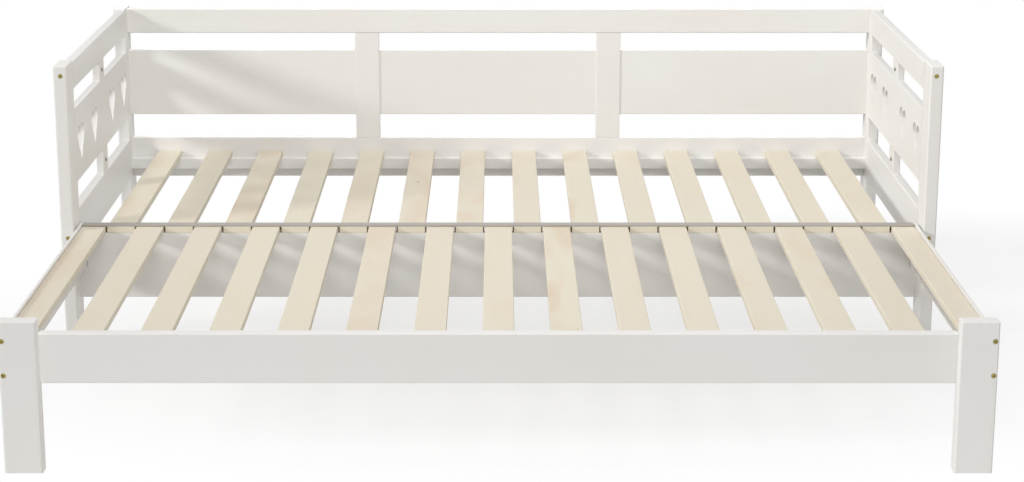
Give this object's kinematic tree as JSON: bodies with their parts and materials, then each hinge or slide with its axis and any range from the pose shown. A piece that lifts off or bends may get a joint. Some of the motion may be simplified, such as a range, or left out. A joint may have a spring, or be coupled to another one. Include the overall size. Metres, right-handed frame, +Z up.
{
  "type": "extendable bed",
  "caption": "White-painted wooden daybed with heart cut-outs in its end panels; a slatted front frame slides out on its own legs to make a wide bed.",
  "frame": {"origin": "on the floor, under the middle of the pulled-out bed", "axes": "+X to the right along the back panel, +Y from the pull-out front to the back panel, +Z up"},
  "size_m": [2.069, 1.706, 0.682],
  "materials": {
    "white_paint": "satin white paint",
    "slat_wood": "bare planed pine",
    "peg_wood": "bare beech dowel",
    "brass": "brass plated",
    "zinc": "zinc plated",
    "strip_steel": "grey steel"
  },
  "bodies": {
    "fixed_frame": {"back_boards": "white_paint", "back_left_mullion": "white_paint", "back_lower_rail": "white_paint", "back_right_mullion": "white_paint", "back_slat_ledge": "white_paint", "back_top_rail": "white_paint", "fixed_slat_01": "slat_wood", "fixed_slat_02": "slat_wood", "fixed_slat_03": "slat_wood", "fixed_slat_04": "slat_wood", "fixed_slat_05": "slat_wood", "fixed_slat_06": "slat_wood", "fixed_slat_07": "slat_wood", "fixed_slat_08": "slat_wood", "fixed_slat_09": "slat_wood", "fixed_slat_10": "slat_wood", "fixed_slat_11": "slat_wood", "fixed_slat_12": "slat_wood", "fixed_slat_13": "slat_wood", "fixed_slat_14": "slat_wood", "frame_barrel_nuts": "zinc", "frame_bolts": "brass", "front_beam": "white_paint", "front_left_post": "white_paint", "front_right_post": "white_paint", "left_heart_board": "white_paint", "left_lower_rail": "white_paint", "left_stiles": "white_paint", "left_top_rail": "white_paint", "rear_left_post": "white_paint", "rear_right_post": "white_paint", "retaining_strip": "strip_steel", "right_heart_board": "white_paint", "right_lower_rail": "white_paint", "right_stiles": "white_paint", "right_top_rail": "white_paint"},
    "pull_out_frame": {"front_rail": "white_paint", "front_slat_ledge": "white_paint", "left_leg": "white_paint", "left_side_rail": "white_paint", "leg_barrel_nuts": "zinc", "leg_bolts": "brass", "right_leg": "white_paint", "right_side_rail": "white_paint", "sliding_slat_01": "slat_wood", "sliding_slat_02": "slat_wood", "sliding_slat_03": "slat_wood", "sliding_slat_04": "slat_wood", "sliding_slat_05": "slat_wood", "sliding_slat_06": "slat_wood", "sliding_slat_07": "slat_wood", "sliding_slat_08": "slat_wood", "sliding_slat_09": "slat_wood", "sliding_slat_10": "slat_wood", "sliding_slat_11": "slat_wood", "sliding_slat_12": "slat_wood", "sliding_slat_13": "slat_wood", "sliding_slat_14": "slat_wood", "sliding_slat_15": "slat_wood", "stop_pegs": "peg_wood"}
  },
  "joints": [
    {"name": "pull_out_slide", "type": "slide", "parent": "fixed_frame", "child": "pull_out_frame", "axis": [0, 1, 0], "range_m": [0, 0.761]}
  ]
}
